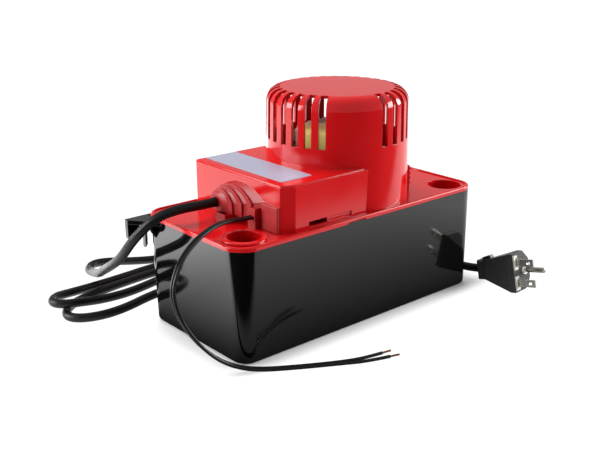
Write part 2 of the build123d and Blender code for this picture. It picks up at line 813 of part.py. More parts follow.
with BuildPart() as valve_nut:
    with BuildSketch(Plane.XY.offset(plate_under - nut_height)):
        with Locations((valve_x, valve_y)):
            RegularPolygon(10.5, 6)
            Circle(spigot_radius + 1.3 + shaft_gap, mode=Mode.SUBTRACT)
    extrude(amount=nut_height)
save(valve_nut, "valve_nut")

chamber_height = 11.5
cap_top = seat_z + valve_rise
with BuildPart() as valve_cap:
    with BuildSketch(Plane.XY.offset(seat_z)):
        with Locations((valve_x, valve_y)):
            RegularPolygon(valve_radius + 1, 8)
    extrude(amount=chamber_height)
    with BuildSketch(Plane.XY.offset(seat_z + chamber_height)):
        with Locations((valve_x, valve_y)):
            Circle(valve_radius - 1)
    extrude(amount=valve_rise - chamber_height, taper=20)
    with BuildSketch(Plane.XY.offset(cap_top)):
        with Locations((valve_x, valve_y)):
            Circle(spigot_radius)
    extrude(amount=barb_length)
    for k in range(3):
        with Locations((valve_x, valve_y, cap_top + 6 + 4.5 * k)):
            Cone(spigot_radius + 0.9, spigot_radius, 3.6, align=(Align.CENTER, Align.CENTER, Align.MIN))
    with BuildSketch(Plane.XY.offset(seat_z)):
        with Locations((valve_x, valve_y)):
            Circle(chamber_radius)
    extrude(amount=chamber_height, mode=Mode.SUBTRACT)
    with BuildSketch(Plane.XY.offset(seat_z)):
        with Locations((valve_x, valve_y)):
            Circle(valve_bore)
    extrude(amount=60, mode=Mode.SUBTRACT)
save(valve_cap, "valve_cap")

ball_z = seat_z + ((ball_radius + touch_gap) ** 2 - valve_bore ** 2) ** 0.5
with BuildPart() as check_ball:
    with Locations((valve_x, valve_y, ball_z)):
        Sphere(ball_radius)
save(check_ball, "check_ball")

# ---------------------------------------------------------------- float and its rod
float_top = float_rest + float_thick
hinge_x = rod_x - lever_length
hinge_z = switch_base - hinge_drop
lever_angle = atan(lever_slope)
bar_radius = 1.5
bar_z = hinge_z - lever_length * lever_slope - (lever_sheet / 2 + bar_radius + touch_gap) / cos(lever_angle)
with BuildPart() as float_block:
    with Locations((float_x, 0, float_rest)):
        Box(float_length, float_width, float_thick, align=(Align.CENTER, Align.CENTER, Align.MIN))
    fillet(float_block.edges().filter_by(Axis.Z), radius=10)
    fillet(float_block.edges().group_by(Axis.Z)[0], radius=3)
    fillet(float_block.edges().group_by(Axis.Z)[-1], radius=3)
    with Locations((rod_x, rod_y, float_top)):
        Cylinder(5, 5, align=(Align.CENTER, Align.CENTER, Align.MIN))
        Cylinder(rod_radius + shaft_gap, 22, mode=Mode.SUBTRACT)
save(float_block, "float_block")

with BuildPart() as float_rod:
    with BuildSketch(Plane.XY.offset(float_top - 11)):
        with Locations((rod_x, rod_y)):
            Circle(rod_radius)
    extrude(amount=bar_z - float_top + 11)
    with Locations(Location((rod_x, rod_y, bar_z), (90, 0, 0))):
        Cylinder(bar_radius, 17)
save(float_rod, "float_rod")

# ---------------------------------------------------------------- switches
lever_y = {"run": rod_y - bracket_wall / 2 - switch_width / 2, "safety": rod_y + bracket_wall / 2 + switch_width / 2}
body_x = hinge_x - 1.5
button_tip = hinge_z - button_x * lever_slope + lever_sheet / 2 / cos(lever_angle) + 0.5
for kind, y in lever_y.items():
    with BuildPart() as switch:
        with Locations((body_x, y, switch_base)):
            Box(switch_length, switch_width, switch_tall, align=(Align.MIN, Align.CENTER, Align.MIN))
        fillet(switch.edges().filter_by(Axis.Y), radius=0.8)
        for side in (-1, 1):
            with Locations((body_x, y + side * 2.9, switch_base - 2.8)):
                Box(3, 1, 3, align=(Align.MIN, Align.CENTER, Align.MIN))
        with Locations(Location((hinge_x, y, hinge_z), (90, 0, 0))):
            Cylinder(0.5, 6.4)
        with Locations((hinge_x + button_x, y, switch_base)):
            Cylinder(
                button_radius + shaft_gap,
                4.2,
                align=(Align.CENTER, Align.CENTER, Align.MIN),
                mode=Mode.SUBTRACT,
            )
        with Locations(*[Location((body_x + x, y, switch_base + 3.5), (90, 0, 0)) for x in (3, 25.2)]):
            Cylinder(1.55, switch_width, mode=Mode.SUBTRACT)
        with Locations(*[(body_x + x, y, switch_base + switch_tall) for x in (4, 20)]):
            Box(0.6, 4, 0.2, align=(Align.CENTER, Align.CENTER, Align.MIN))
    save(switch, f"{kind}_switch")
    with BuildPart() as lever:
        with BuildSketch(Plane.XZ.offset(-y - lever_width / 2)):
            with Locations(Location((hinge_x, hinge_z, 0), (0, 0, -degrees(lever_angle)))):
                Rectangle(lever_length + 3, lever_sheet, align=(Align.MIN, Align.CENTER))
            with Locations((hinge_x, hinge_z)):
                Circle(1.05)
                Circle(0.55, mode=Mode.SUBTRACT)
        extrude(amount=lever_width)
    save(lever, f"{kind}_lever")
    with BuildPart() as button:
        with BuildSketch(Plane.XY.offset(button_tip)):
            with Locations((hinge_x + button_x, y)):
                Circle(button_radius)
        extrude(amount=switch_base + 2 - button_tip)
        fillet(button.edges().group_by(Axis.Z)[0], radius=1.2)
    save(button, f"{kind}_button")

with BuildPart() as switch_bracket:
    with Locations((body_x, rod_y, plate_top)):
        Box(switch_length, bracket_wall, switch_base + 13 - plate_top, align=(Align.MIN, Align.CENTER, Align.MIN))
        Box(switch_length, 12.8, bracket_wall, align=(Align.MIN, Align.MIN, Align.MIN))
    with Locations(*[Location((body_x + x, rod_y, switch_base + 3.5), (90, 0, 0)) for x in (3, 25.2)]):
        Cylinder(1.55, 10, mode=Mode.SUBTRACT)
    with Locations(*[(x, y, plate_top) for x, y in bracket_points]):
        Cylinder(screw_radius + 0.1, 10, mode=Mode.SUBTRACT)
save(switch_bracket, "switch_bracket")

with BuildPart() as switch_screws:
    grip = 2 * switch_width + bracket_wall
    with Locations(*[Location((body_x + x, rod_y, switch_base + 3.5), (90, 0, 0)) for x in (3, 25.2)]):
        Cylinder(1.45, grip)
    for side in (-1, 1):
        with Locations(*[Location((body_x + x, rod_y + side * (grip / 2 + 0.8), switch_base + 3.5), (90, 0, 0)) for x in (3, 25.2)]):
            Cylinder(2.6, 1.6)
    with Locations(*[(x, y, plate_top + bracket_wall) for x, y in bracket_points]):
        Cylinder(2.8, 1.6, align=(Align.CENTER, Align.CENTER, Align.MIN))
        Cylinder(screw_radius - shaft_gap, 14, align=(Align.CENTER, Align.CENTER, Align.CENTER))
save(switch_screws, "switch_screws")

# ---------------------------------------------------------------- cords
power_points = (
    (-76, 12, 103.2), (-106, 12, 103.2), (-126, 13.5, 103.8), (-143, 20, 99.5), (-156, 32, 83),
    (-160.5, 48, 62), (-156, 74, 47), (-146, 103, 33), (-135, 133, 18), (-126, 160, 8),
    (-121.5, 180, 4), (-111, 191, 3.8), (-98, 189, 3.8), (-84, 177, 3.8), (-60, 162, 3.8),
    (-24, 154, 3.8), (19, 162, 3.8), (58, 174, 3.8), (92, 172, 3.8), (114, 151, 3.8),
    (111, 124, 3.8), (84, 114, 3.8), (50, 127, 3.8), (14, 140, 3.8), (-28, 142, 3.8),
    (-72, 147, 3.8), (-108, 143, 3.8), (-140, 140, 4.5), (-166, 131.5, 8.5), (-182, 124, 12),
    (-190, 113, 12.6), (-184, 103.5, 12.6), (-170, 102, 11), (-148, 106, 6), (-120, 109, 3.8),
    (-92, 115, 3.8), (-66, 122, 3.8), (-40, 120, 3.8), (-15, 105, 3.8), (8, 87, 3.8),
    (33, 82, 3.8), (51, 96, 3.8), (46, 117, 3.8), (22, 124, 3.8), (-8, 123, 3.8),
    (-38, 131, 3.8), (-72, 135.5, 3.8), (-105, 132.5, 3.8), (-135, 128.5, 3.8), (-160, 123, 3.8),
    (-178, 112, 3.8), (-185, 98, 3.8), (-178, 87, 3.8), (-160, 81, 3.8), (-138, 82.5, 3.8),
    (-110, 91, 3.8), (-78, 94, 3.8), (-42, 82, 3.8), (5, 69, 3.8), (52, 67.5, 3.8),
    (97, 71, 3.8), (135, 61, 3.8), (153, 33, 3.8), (153.5, -3, 3.8), (144, -40.1, 3.8),
    plug_rear,
)
back_lead_points = (
    (-76, -24.9, 99), (-94, -24.9, 99), (-106, -25, 100.6), (-119, -27.1, 101.6), (-131, -30.6, 101.2),
    (-143.5, -34.1, 98.4), (-154, -36.9, 93.7), (-164, -40.6, 87.5), (-171, -43.6, 79.5), (-175.4, -45.6, 70.2),
    (-175.4, -47.6, 59.8), (-172.6, -49.6, 48.6), (-166.8, -52.6, 36.6), (-158.4, -55.6, 24.4), (-147, -59.6, 12.8),
    (-133, -64.7, 4.6), (-119, -72.9, 1.5), (-95.5, -87.3, 1.4), (-69.2, -101.8, 1.4), (-51, -109.2, 1.4),
    (-35, -111.9, 1.4),
)
front_lead_points = (
    (-76, -27.7, 99), (-94, -27.7, 99), (-106, -27.8, 100.6), (-119, -29.9, 101.6), (-131, -33.4, 101.2),
    (-143.5, -36.9, 98.4), (-154, -39.7, 93.7), (-164, -43.4, 87.5), (-171, -46.4, 79.5), (-175.4, -48.4, 70.2),
    (-175.4, -50.4, 59.8), (-172.6, -52.4, 48.6), (-166.8, -55.4, 36.6), (-158.8, -58.4, 24.4), (-147.8, -62.3, 12.8),
    (-134.2, -67.2, 4.6), (-120.5, -75.2, 1.5), (-96.9, -89.7, 1.4), (-70.6, -104.3, 1.4), (-52.4, -114.6, 1.4),
    (-34.6, -119.8, 1.4),
)


def bend_radii(points):
    """The largest arc that fits at each corner, at 0.45 of its shorter run."""
    radii = []
    for before, corner, after in zip(points, points[1:], points[2:]):
        run_in = Vector(corner) - Vector(before)
        run_out = Vector(after) - Vector(corner)
        half_turn = radians(run_in.get_angle(run_out) / 2)
        radii.append(0.45 * min(run_in.length, run_out.length) / tan(half_turn))
    return radii


cords = (
    ("power_cord", power_points, cord_radius),
    ("back_lead", back_lead_points, lead_radius),
    ("front_lead", front_lead_points, lead_radius),
)
for name, points, radius in cords:
    radii = bend_radii(points)
    with BuildPart() as cord:
        with BuildLine() as route:
            FilletPolyline(*points, radius=radii)
        with BuildSketch(Plane(route.line @ 0, z_dir=route.line % 0)):
            Circle(radius)
        sweep()
    path_length = sum(piece.length for piece in route.edges())
    whole = cord.part.volume / (pi * radius ** 2 * path_length)
    print(name, "length", round(path_length, 1), "volume over section by length", round(whole, 4))
    print("radii", [round(bend, 1) for bend in radii])
    save(cord, name)

hood_end = -box_end - 0.85 * hood_reach
with BuildPart() as cord_bushing:
    with BuildSketch(Plane((hood_end, cord_y, cord_z), x_dir=(0, 1, 0), z_dir=(1, 0, 0))):
        Circle(bushing_radius)
        Circle(cord_radius, mode=Mode.SUBTRACT)
    extrude(amount=bushing_length)
save(cord_bushing, "cord_bushing")

with BuildPart() as lead_tips:
    for points in (back_lead_points, front_lead_points):
        with BuildSketch(Plane(points[-1], z_dir=Vector(points[-1]) - Vector(points[-2]))):
            Circle(tip_radius)
        extrude(amount=tip_length)
save(lead_tips, "lead_tips")

with BuildPart() as splice_caps:
    with Locations(*[(-60, y, plate_top + cap_radius) for y in (-42, -29, -16)]):
        Cone(cap_radius, cap_radius - 1.4, cap_length, rotation=(0, 90, 0))
save(splice_caps, "splice_caps")

# ---------------------------------------------------------------- plug
plug_plane = Plane(plug_rear, x_dir=plug_across, z_dir=plug_along)
plug_axis = Axis(plug_rear, plug_along)
half_front = plug_front_wide / 2
half_rear = plug_rear_wide / 2
front_plane = plug_plane.offset(plug_length)
blade_places = [(blade_across, -blade_pitch / 2), (blade_across, blade_pitch / 2)]
with BuildPart() as plug_body:
    plug_ends = ((plug_collar - 1, half_rear, plug_rear_tall), (plug_length - 5, half_front, plug_front_tall))
    for away, half, tall in plug_ends:
        with BuildSketch(plug_plane.offset(away)):
            Polygon(
                (-half, -tall / 2),
                (half / 3, -tall / 2),
                (half, -tall / 4),
                (half, tall / 4),
                (half / 3, tall / 2),
                (-half, tall / 2),
                align=None,
            )
    loft()
    extrude(plug_body.faces().sort_by(plug_axis)[-1], amount=5)
    with BuildSketch(plug_plane):
        RectangleRounded(plug_rear_wide + 2, plug_rear_tall + 2, 1.5)
    extrude(amount=plug_collar)
    with Locations(plug_plane):
        with Locations(Location((-1, plug_rear_tall / 2 + 2.6, plug_collar + 4), (-16, 0, 0))):
            Box(5, 3.4, 9)
    with BuildSketch(front_plane.offset(-blade_root)):
        with Locations(*blade_places):
            Rectangle(blade_sheet, blade_width)
        with Locations((pin_across, 0)):
            Circle(pin_radius)
    extrude(amount=blade_root, mode=Mode.SUBTRACT)
save(plug_body, "plug_body")

with BuildPart() as plug_blades:
    with BuildSketch(front_plane.offset(-blade_root)):
        with Locations(*blade_places):
            Rectangle(blade_sheet, blade_width)
    extrude(amount=blade_root + blade_length)
    with Locations(front_plane):
        with Locations(*[Location((x, y, blade_length - 4.5), (0, 90, 0)) for x, y in blade_places]):
            Cylinder(1.6, 4, mode=Mode.SUBTRACT)
save(plug_blades, "plug_blades")

with BuildPart() as ground_pin:
    with BuildSketch(front_plane.offset(-blade_root)):
        with Locations((pin_across, 0)):
            Circle(pin_radius)
    extrude(amount=blade_root + pin_length)
    fillet(ground_pin.edges().sort_by(plug_axis)[-1], radius=1.9)
save(ground_pin, "ground_pin")

with BuildPart() as plug_inserts:
    with BuildSketch(front_plane):
        with Locations(*[(x - 1.4, y) for x, y in blade_places]):
            Rectangle(5.2, 12.4)
        with Locations(*[(x + 0.6, y) for x, y in blade_places]):
            Rectangle(4.2, 8.0, mode=Mode.SUBTRACT)
        with Locations((pin_across, 0)):
            Circle(pin_radius + 1.9)
            Circle(pin_radius + shaft_gap, mode=Mode.SUBTRACT)
    extrude(amount=insert_sheet)
save(plug_inserts, "plug_inserts")
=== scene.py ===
import bpy
import math
from mathutils import Euler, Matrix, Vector


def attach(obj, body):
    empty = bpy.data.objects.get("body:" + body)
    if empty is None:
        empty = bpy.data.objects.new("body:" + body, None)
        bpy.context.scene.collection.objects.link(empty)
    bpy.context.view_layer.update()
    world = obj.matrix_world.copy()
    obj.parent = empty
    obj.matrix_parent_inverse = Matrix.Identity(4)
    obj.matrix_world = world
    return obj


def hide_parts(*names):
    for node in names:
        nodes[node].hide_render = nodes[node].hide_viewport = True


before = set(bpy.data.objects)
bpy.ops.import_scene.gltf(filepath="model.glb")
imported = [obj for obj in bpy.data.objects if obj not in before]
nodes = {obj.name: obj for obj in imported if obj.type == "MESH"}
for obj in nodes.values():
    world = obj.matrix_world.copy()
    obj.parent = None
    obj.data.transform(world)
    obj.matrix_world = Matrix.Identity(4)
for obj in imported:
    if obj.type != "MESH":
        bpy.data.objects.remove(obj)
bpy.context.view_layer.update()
scene = bpy.context.scene
print("frame loaded:", len(nodes), "nodes")

# camera, a long-ish lens from the front left and a little above
cameraSet = {"place": (-0.48500, -0.53599, 0.31030), "turn": -40.990, "tilt": 18.648,
             "lens": 54.52, "sensor": 36, "near": 0.01}
cameraData = bpy.data.cameras.new("productCamera")
cameraData.lens = cameraSet["lens"]
cameraData.sensor_width = cameraSet["sensor"]
cameraData.clip_start = cameraSet["near"]
camera = bpy.data.objects.new("productCamera", cameraData)
camera.location = cameraSet["place"]
camera.rotation_euler = Euler((math.radians(90 - cameraSet["tilt"]), 0, math.radians(cameraSet["turn"])))
scene.collection.objects.link(camera)
scene.camera = camera
scene.view_settings.view_transform = "Standard"

creaseAngle = math.radians(24)  # edges sharper than this stay sharp
noiseBand = (0.3, 0.7)  # most values of a noise pattern lie between these
bandTurn = {"level": 20, "diagonal": 10}  # radians that a wave pattern turns in one scaled unit
moulding = {"ior": 1.54, "depthMm": 0.2, "edgeSamples": 6}
elastomer = {"ior": 1.52, "depthMm": 0.2, "glossSpread": 0.12}
metal = {"depthMm": 0.1, "glossSpread": 0.15}


def toLinear(hexColour):
    parts = [int(hexColour[k:k + 2], 16) / 255 for k in (1, 3, 5)]
    return [c / 12.92 if c <= 0.04045 else ((c + 0.055) / 1.055) ** 2.4 for c in parts] + [1.0]


def addNode(tree, kind, settings=None, links=None):
    made = tree.nodes.new(kind)
    for key, value in (settings or {}).items():
        if isinstance(key, str) and hasattr(made, key):
            setattr(made, key, value)
        else:
            made.inputs[key].default_value = value
    for key, socket in (links or {}).items():
        tree.links.new(socket, made.inputs[key])
    return made


def newMaterial(name):
    material = bpy.data.materials.new(name)
    material.use_nodes = True
    tree = material.node_tree
    tree.nodes.clear()
    output = addNode(tree, "ShaderNodeOutputMaterial")
    place = addNode(tree, "ShaderNodeTexCoord")
    return material, tree, output, place.outputs["Object"]


def finishShader(tree, output, settings, links):
    shader = addNode(tree, "ShaderNodeBsdfPrincipled", settings, links)
    tree.links.new(shader.outputs["BSDF"], output.inputs["Surface"])


def patternScale(millimetres):
    # one cell of a noise or pebble pattern in this many millimetres
    return 1000.0 / millimetres


def addNoise(tree, place, millimetres, detail):
    settings = {"Scale": patternScale(millimetres), "Detail": detail}
    return addNode(tree, "ShaderNodeTexNoise", settings, {"Vector": place}).outputs["Fac"]


def mixTint(tree, deep, clear, pattern):
    settings = {"data_type": "RGBA", 6: toLinear(deep), 7: toLinear(clear)}
    return addNode(tree, "ShaderNodeMix", settings, {"Factor": pattern}).outputs[2]


def varyGloss(tree, gloss, spread, pattern):
    # roughness that drifts with a noise pattern
    settings = {"From Min": noiseBand[0], "From Max": noiseBand[1], "To Min": gloss, "To Max": gloss + spread}
    return addNode(tree, "ShaderNodeMapRange", settings, {"Value": pattern}).outputs["Result"]


def addRelief(tree, strength, depthMm, links):
    settings = {"Strength": strength, "Distance": depthMm / 1000}
    return addNode(tree, "ShaderNodeBump", settings, links).outputs["Normal"]


def mouldedAbs(name, look):
    # moulded plastic: even colour, faint orange peel, softly broken edges
    material, tree, output, place = newMaterial(name)
    peel = addNoise(tree, place, look["peelMm"], 2.0)
    flow = addNoise(tree, place, look["flowMm"], 3.0)
    tint = mixTint(tree, look["deep"], look["clear"], flow)
    gloss = varyGloss(tree, look["gloss"], look["glossSpread"], flow)
    edgeSettings = {"samples": moulding["edgeSamples"], "Radius": look["edgeMm"] / 1000}
    edge = addNode(tree, "ShaderNodeBevel", edgeSettings)
    normal = addRelief(tree, look["peel"], moulding["depthMm"],
                       {"Height": peel, "Normal": edge.outputs["Normal"]})
    finishShader(tree, output, {"IOR": moulding["ior"]},
                 {"Base Color": tint, "Roughness": gloss, "Normal": normal})
    return material


redAbs = mouldedAbs("glossRedAbs", {
    "deep": "#C40D12", "clear": "#D01217", "gloss": 0.10, "glossSpread": 0.06,
    "peel": 0.10, "peelMm": 1.6, "flowMm": 34, "edgeMm": 0.5})
blackAbs = mouldedAbs("glossBlackAbs", {
    "deep": "#060606", "clear": "#0A0A0A", "gloss": 0.05, "glossSpread": 0.03,
    "peel": 0.04, "peelMm": 2.2, "flowMm": 45, "edgeMm": 0.6})
# darker, rougher copy of the red plastic for the cord boot, shelf and tray at the cover's end: its darker
# colour is painted shade
endShadeAbs = mouldedAbs("endShadeRedAbs", {
    "deep": "#9C090F", "clear": "#AC0C12", "gloss": 0.38, "glossSpread": 0.10,
    "peel": 0.35, "peelMm": 0.8, "flowMm": 12, "edgeMm": 0.4})
nylonLook = {
    "deep": "#D9D8CE", "clear": "#E9E8E0", "gloss": 0.38, "glossSpread": 0.08,
    "peel": 0.12, "peelMm": 0.9, "flowMm": 18, "edgeMm": 0.3}
blackLook = {**nylonLook, "deep": "#161616", "clear": "#1F1F20", "peel": 0.3, "peelMm": 0.6}
phenolicLook = {**nylonLook, "deep": "#17130F", "clear": "#1E1A16", "gloss": 0.3}
whiteNylon = mouldedAbs("naturalNylon", nylonLook)
greyAcetal = mouldedAbs("greyAcetal", {**nylonLook, "deep": "#4A4C4E", "clear": "#56585A"})
blackNylon = mouldedAbs("glassFilledBlackNylon", blackLook)
redNylon = mouldedAbs("redNylon", {**nylonLook, "deep": "#8E1518", "clear": "#A51A1D"})
orangeCap = mouldedAbs("orangePolypropylene", {**nylonLook, "deep": "#D2641C", "clear": "#E07426"})
phenolic = mouldedAbs("blackPhenolic", phenolicLook)
print("moulded plastics made")


def grainedRubber(name, look):
    # extruded or moulded elastomer: satin, with a fine pebble left by the die or mould
    material, tree, output, place = newMaterial(name)
    pebble = addNode(tree, "ShaderNodeTexVoronoi", {"Scale": patternScale(look["pebbleMm"])},
                     {"Vector": place}).outputs["Distance"]
    bloom = addNoise(tree, place, look["bloomMm"], 4.0)
    tint = mixTint(tree, look["deep"], look["clear"], bloom)
    gloss = varyGloss(tree, look["gloss"], elastomer["glossSpread"], bloom)
    normal = addRelief(tree, look["pebble"], elastomer["depthMm"], {"Height": pebble})
    finishShader(tree, output, {"IOR": elastomer["ior"], "Specular IOR Level": look["shine"]},
                 {"Base Color": tint, "Roughness": gloss, "Normal": normal})
    return material


cordPvc = grainedRubber("cordPvc", {
    "deep": "#090909", "clear": "#101010", "gloss": 0.34, "shine": 0.32,
    "pebble": 0.35, "pebbleMm": 1.1, "bloomMm": 15})
leadPvc = grainedRubber("leadPvc", {
    "deep": "#080808", "clear": "#0F0F10", "gloss": 0.26, "shine": 0.36,
    "pebble": 0.08, "pebbleMm": 0.7, "bloomMm": 12})
plugPvc = grainedRubber("plugPvc", {
    "deep": "#343536", "clear": "#404142", "gloss": 0.36, "shine": 0.5,
    "pebble": 0.35, "pebbleMm": 0.7, "bloomMm": 9})
nitrile = grainedRubber("nitrileRubber", {
    "deep": "#101010", "clear": "#1A1A1A", "gloss": 0.5, "shine": 0.5,
    "pebble": 0.2, "pebbleMm": 0.9, "bloomMm": 10})
evaFoam = grainedRubber("closedCellFoam", {
    "deep": "#C9C4B8", "clear": "#DDD9CF", "gloss": 0.62, "shine": 0.5,
    "pebble": 0.6, "pebbleMm": 1.8, "bloomMm": 20})


def metalSurface(name, look):
    # drawn, ground or plated metal: a stretch above 1 packs its marks closer along that axis
    material, tree, output, place = newMaterial(name)
    stretch = addNode(tree, "ShaderNodeMapping", {"Scale": look["stretch"]}, {"Vector": place})
    marks = addNoise(tree, stretch.outputs["Vector"], look["markMm"], 5.0)
    tint = mixTint(tree, look["deep"], look["clear"], marks)
    gloss = varyGloss(tree, look["gloss"], metal["glossSpread"], marks)
    normal = addRelief(tree, look["mark"], metal["depthMm"], {"Height": marks})
    finishShader(tree, output, {"Metallic": 1.0}, {"Base Color": tint, "Roughness": gloss, "Normal": normal})
    return material


zincSheet = metalSurface("zincPlatedSheet", {
    "deep": "#9B9A92", "clear": "#BDBBB2", "gloss": 0.32, "mark": 0.2, "markMm": 3,
    "stretch": (1, 1, 1)})
groundSteel = metalSurface("groundSteel", {
    "deep": "#A9A9A8", "clear": "#C8C8C6", "gloss": 0.2, "mark": 0.15, "markMm": 0.8,
    "stretch": (1, 1, 6)})
nickelPlate = metalSurface("nickelPlatedBrass", {
    "deep": "#C9C6BD", "clear": "#E0DED6", "gloss": 0.16, "mark": 0.12, "markMm": 1.2,
    "stretch": (1, 0.2, 1)})
sinteredBronze = metalSurface("sinteredBronze", {
    "deep": "#8A6238", "clear": "#A77B4B", "gloss": 0.4, "mark": 0.4, "markMm": 0.6,
    "stretch": (1, 1, 1)})
turnedIron = metalSurface("turnedIron", {
    "deep": "#4E4C4A", "clear": "#6A6865", "gloss": 0.35, "mark": 0.3, "markMm": 0.8,
    "stretch": (0.2, 0.2, 3)})
bareCopper = metalSurface("tinnedCopperStrand", {
    "deep": "#6E4229", "clear": "#94603F", "gloss": 0.35, "mark": 0.6, "markMm": 0.5,
    "stretch": (0.4, 0.4, 3)})


def laminatedSteel(look):
    # stack of punched sheets: level lines, with oxide brown in patches
    material, tree, output, place = newMaterial("laminatedSteel")
    waveScale = patternScale(look["radianMm"]) / bandTurn["level"]
    lines = addNode(tree, "ShaderNodeTexWave",
                    {"bands_direction": "Z", "Scale": waveScale, "Distortion": look["waver"]},
                    {"Vector": place}).outputs["Fac"]
    rust = addNoise(tree, place, look["rustMm"], 5.0)
    tint = mixTint(tree, look["bare"], look["oxide"], rust)
    lined = addNode(tree, "ShaderNodeMix",
                    {"data_type": "RGBA", "blend_type": "MULTIPLY", 7: toLinear(look["gap"])},
                    {"Factor": lines, 6: tint}).outputs[2]
    normal = addRelief(tree, look["relief"], look["reliefMm"], {"Height": lines})
    finishShader(tree, output, {"Metallic": look["metallic"], "Roughness": look["gloss"]},
                 {"Base Color": lined, "Normal": normal})
    return material


# one radian in 1 mm, so the lines are 6.3 mm apart: far coarser than real sheets of about 0.5 mm
coreSteel = laminatedSteel({
    "radianMm": 1.0, "waver": 0.15, "rustMm": 8, "relief": 0.5, "reliefMm": 0.3,
    "metallic": 0.8, "gloss": 0.42, "bare": "#A39688", "oxide": "#7A6452", "gap": "#6A5F56"})


def woundTape(look):
    # yellow polyester tape round the winding: glossy creased film whose tone drifts slowly
    material, tree, output, place = newMaterial("polyesterTape")
    waveScale = patternScale(look["radianMm"]) / bandTurn["diagonal"]
    drift = addNode(tree, "ShaderNodeTexWave",
                    {"wave_type": "BANDS", "bands_direction": "DIAGONAL", "wave_profile": "SAW",
                     "Scale": waveScale, "Distortion": look["waver"]}, {"Vector": place}).outputs["Fac"]
    crease = addNoise(tree, place, look["creaseMm"], 4.0)
    tint = mixTint(tree, look["deep"], look["clear"], drift)
    lift = addNode(tree, "ShaderNodeMath", {"operation": "ADD"}, {0: drift, 1: crease})
    normal = addRelief(tree, look["relief"], look["reliefMm"], {"Height": lift.outputs["Value"]})
    finishShader(tree, output, {"IOR": look["ior"], "Roughness": look["gloss"]},
                 {"Base Color": tint, "Normal": normal})
    return material


# one radian in 28 mm, so the drift is longer than the coil and no single turns of tape show
# painted light: both tape colours are paler than the yellow tape itself, standing in for light that barely
# reaches the coil inside the cover
brightenedCoilTape = woundTape({
    "radianMm": 28, "waver": 0.4, "creaseMm": 5, "relief": 0.6, "reliefMm": 0.5, "ior": 1.6, "gloss": 0.25,
    "deep": "#E4F062", "clear": "#FBFFB0"})


def labelFilm(look):
    # bare polyester label stock, matt laminate with a slight mottle
    material, tree, output, place = newMaterial("bareLabelFilm")
    mottle = addNoise(tree, place, look["mottleMm"], 4.0)
    tint = mixTint(tree, look["deep"], look["clear"], mottle)
    gloss = addNode(tree, "ShaderNodeMapRange", {"To Min": look["glossLow"], "To Max": look["glossHigh"]},
                    {"Value": mottle}).outputs["Result"]
    normal = addRelief(tree, look["relief"], look["reliefMm"], {"Height": mottle})
    finishShader(tree, output, {"IOR": look["ior"]},
                 {"Base Color": tint, "Roughness": gloss, "Normal": normal})
    return material


labelStock = labelFilm({
    "mottleMm": 2.5, "relief": 0.1, "reliefMm": 0.1, "ior": 1.5, "glossLow": 0.28, "glossHigh": 0.4,
    "deep": "#999CB0", "clear": "#A5A9BD"})
print("rubber, metal, tape and label made")

finishOf = {
    "tank": blackAbs, "lid": redAbs, "inlet_collar": redAbs, "motor_cover": redAbs,
    "rating_plate": labelStock, "stator_core": coreSteel, "bobbin": whiteNylon, "coil": brightenedCoilTape,
    "upper_bracket": zincSheet, "lower_bracket": zincSheet, "upper_bearing": sinteredBronze,
    "lower_bearing": sinteredBronze, "motor_bolts": zincSheet, "rotor": turnedIron,
    "motor_shaft": groundSteel, "slinger": nitrile, "pump_column": blackNylon,
    "volute_housing": blackNylon, "intake_plate": blackNylon, "impeller": greyAcetal,
    "column_screws": zincSheet, "discharge_tube": nitrile, "valve_base": greyAcetal,
    "valve_gasket": nitrile, "valve_nut": greyAcetal, "valve_cap": greyAcetal, "check_ball": nitrile,
    "float_block": evaFoam, "float_rod": groundSteel, "run_switch": phenolic, "safety_switch": phenolic,
    "run_lever": zincSheet, "safety_lever": zincSheet, "run_button": redNylon, "safety_button": redNylon,
    "switch_bracket": zincSheet, "switch_screws": zincSheet, "lead_tips": bareCopper,
    "cord_bushing": nitrile, "splice_caps": orangeCap, "plug_body": plugPvc,
    "plug_blades": nickelPlate, "ground_pin": nickelPlate, "plug_inserts": whiteNylon,
}
for name, material in finishOf.items():
    node = nodes[name]
    node.data.materials.clear()
    node.data.materials.append(material)
    for face in node.data.polygons:
        face.use_smooth = True
    node.data.set_sharp_from_angle(angle=creaseAngle)
coverMesh = nodes["motor_cover"].data
# painted shade: the faces beyond the box's end wall take the darker copy of the red
coverMesh.materials.append(endShadeAbs)
coverEnd = -0.0836  # the boot, shelf and tray lie beyond the box's end wall
for face in coverMesh.polygons:
    if (nodes["motor_cover"].matrix_world @ face.center).x < coverEnd:
        face.material_index = 1
print("finishes laid on", len(finishOf), "CAD nodes")

# the tank's skin stands almost upright under the lid's edge, a little outside the plain solid: its walls
# move out by the rim's value at their top and by a foot's value at the floor, and less near the middle
skinSet = {"rim": 0.0015, "footEnds": 0.0020, "footFront": 0.0048, "footBack": 0.0014,
           "height": 0.088, "halfLength": 0.1295, "halfWidth": 0.0606, "middle": 0.02}
skinMesh = nodes["tank"].data.copy()
toWorld = nodes["tank"].matrix_world.copy()
toMesh = toWorld.inverted()
for vertex in skinMesh.vertices:
    spot = toWorld @ vertex.co
    if abs(spot.x) < skinSet["halfLength"] and abs(spot.y) < skinSet["halfWidth"]:
        rise = spot.z / skinSet["height"]
        footSide = skinSet["footFront"] if spot.y < 0 else skinSet["footBack"]
        endDrift = skinSet["footEnds"] + (skinSet["rim"] - skinSet["footEnds"]) * rise
        sideDrift = footSide + (skinSet["rim"] - footSide) * rise
        spot.x += endDrift * max(-1, min(1, spot.x / skinSet["middle"]))
        spot.y += sideDrift * max(-1, min(1, spot.y / skinSet["middle"]))
        vertex.co = toMesh @ spot
tankSkin = bpy.data.objects.new("tankSkin", skinMesh)
tankSkin.matrix_world = toWorld
scene.collection.objects.link(tankSkin)
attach(tankSkin, "housing")
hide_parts("tank")


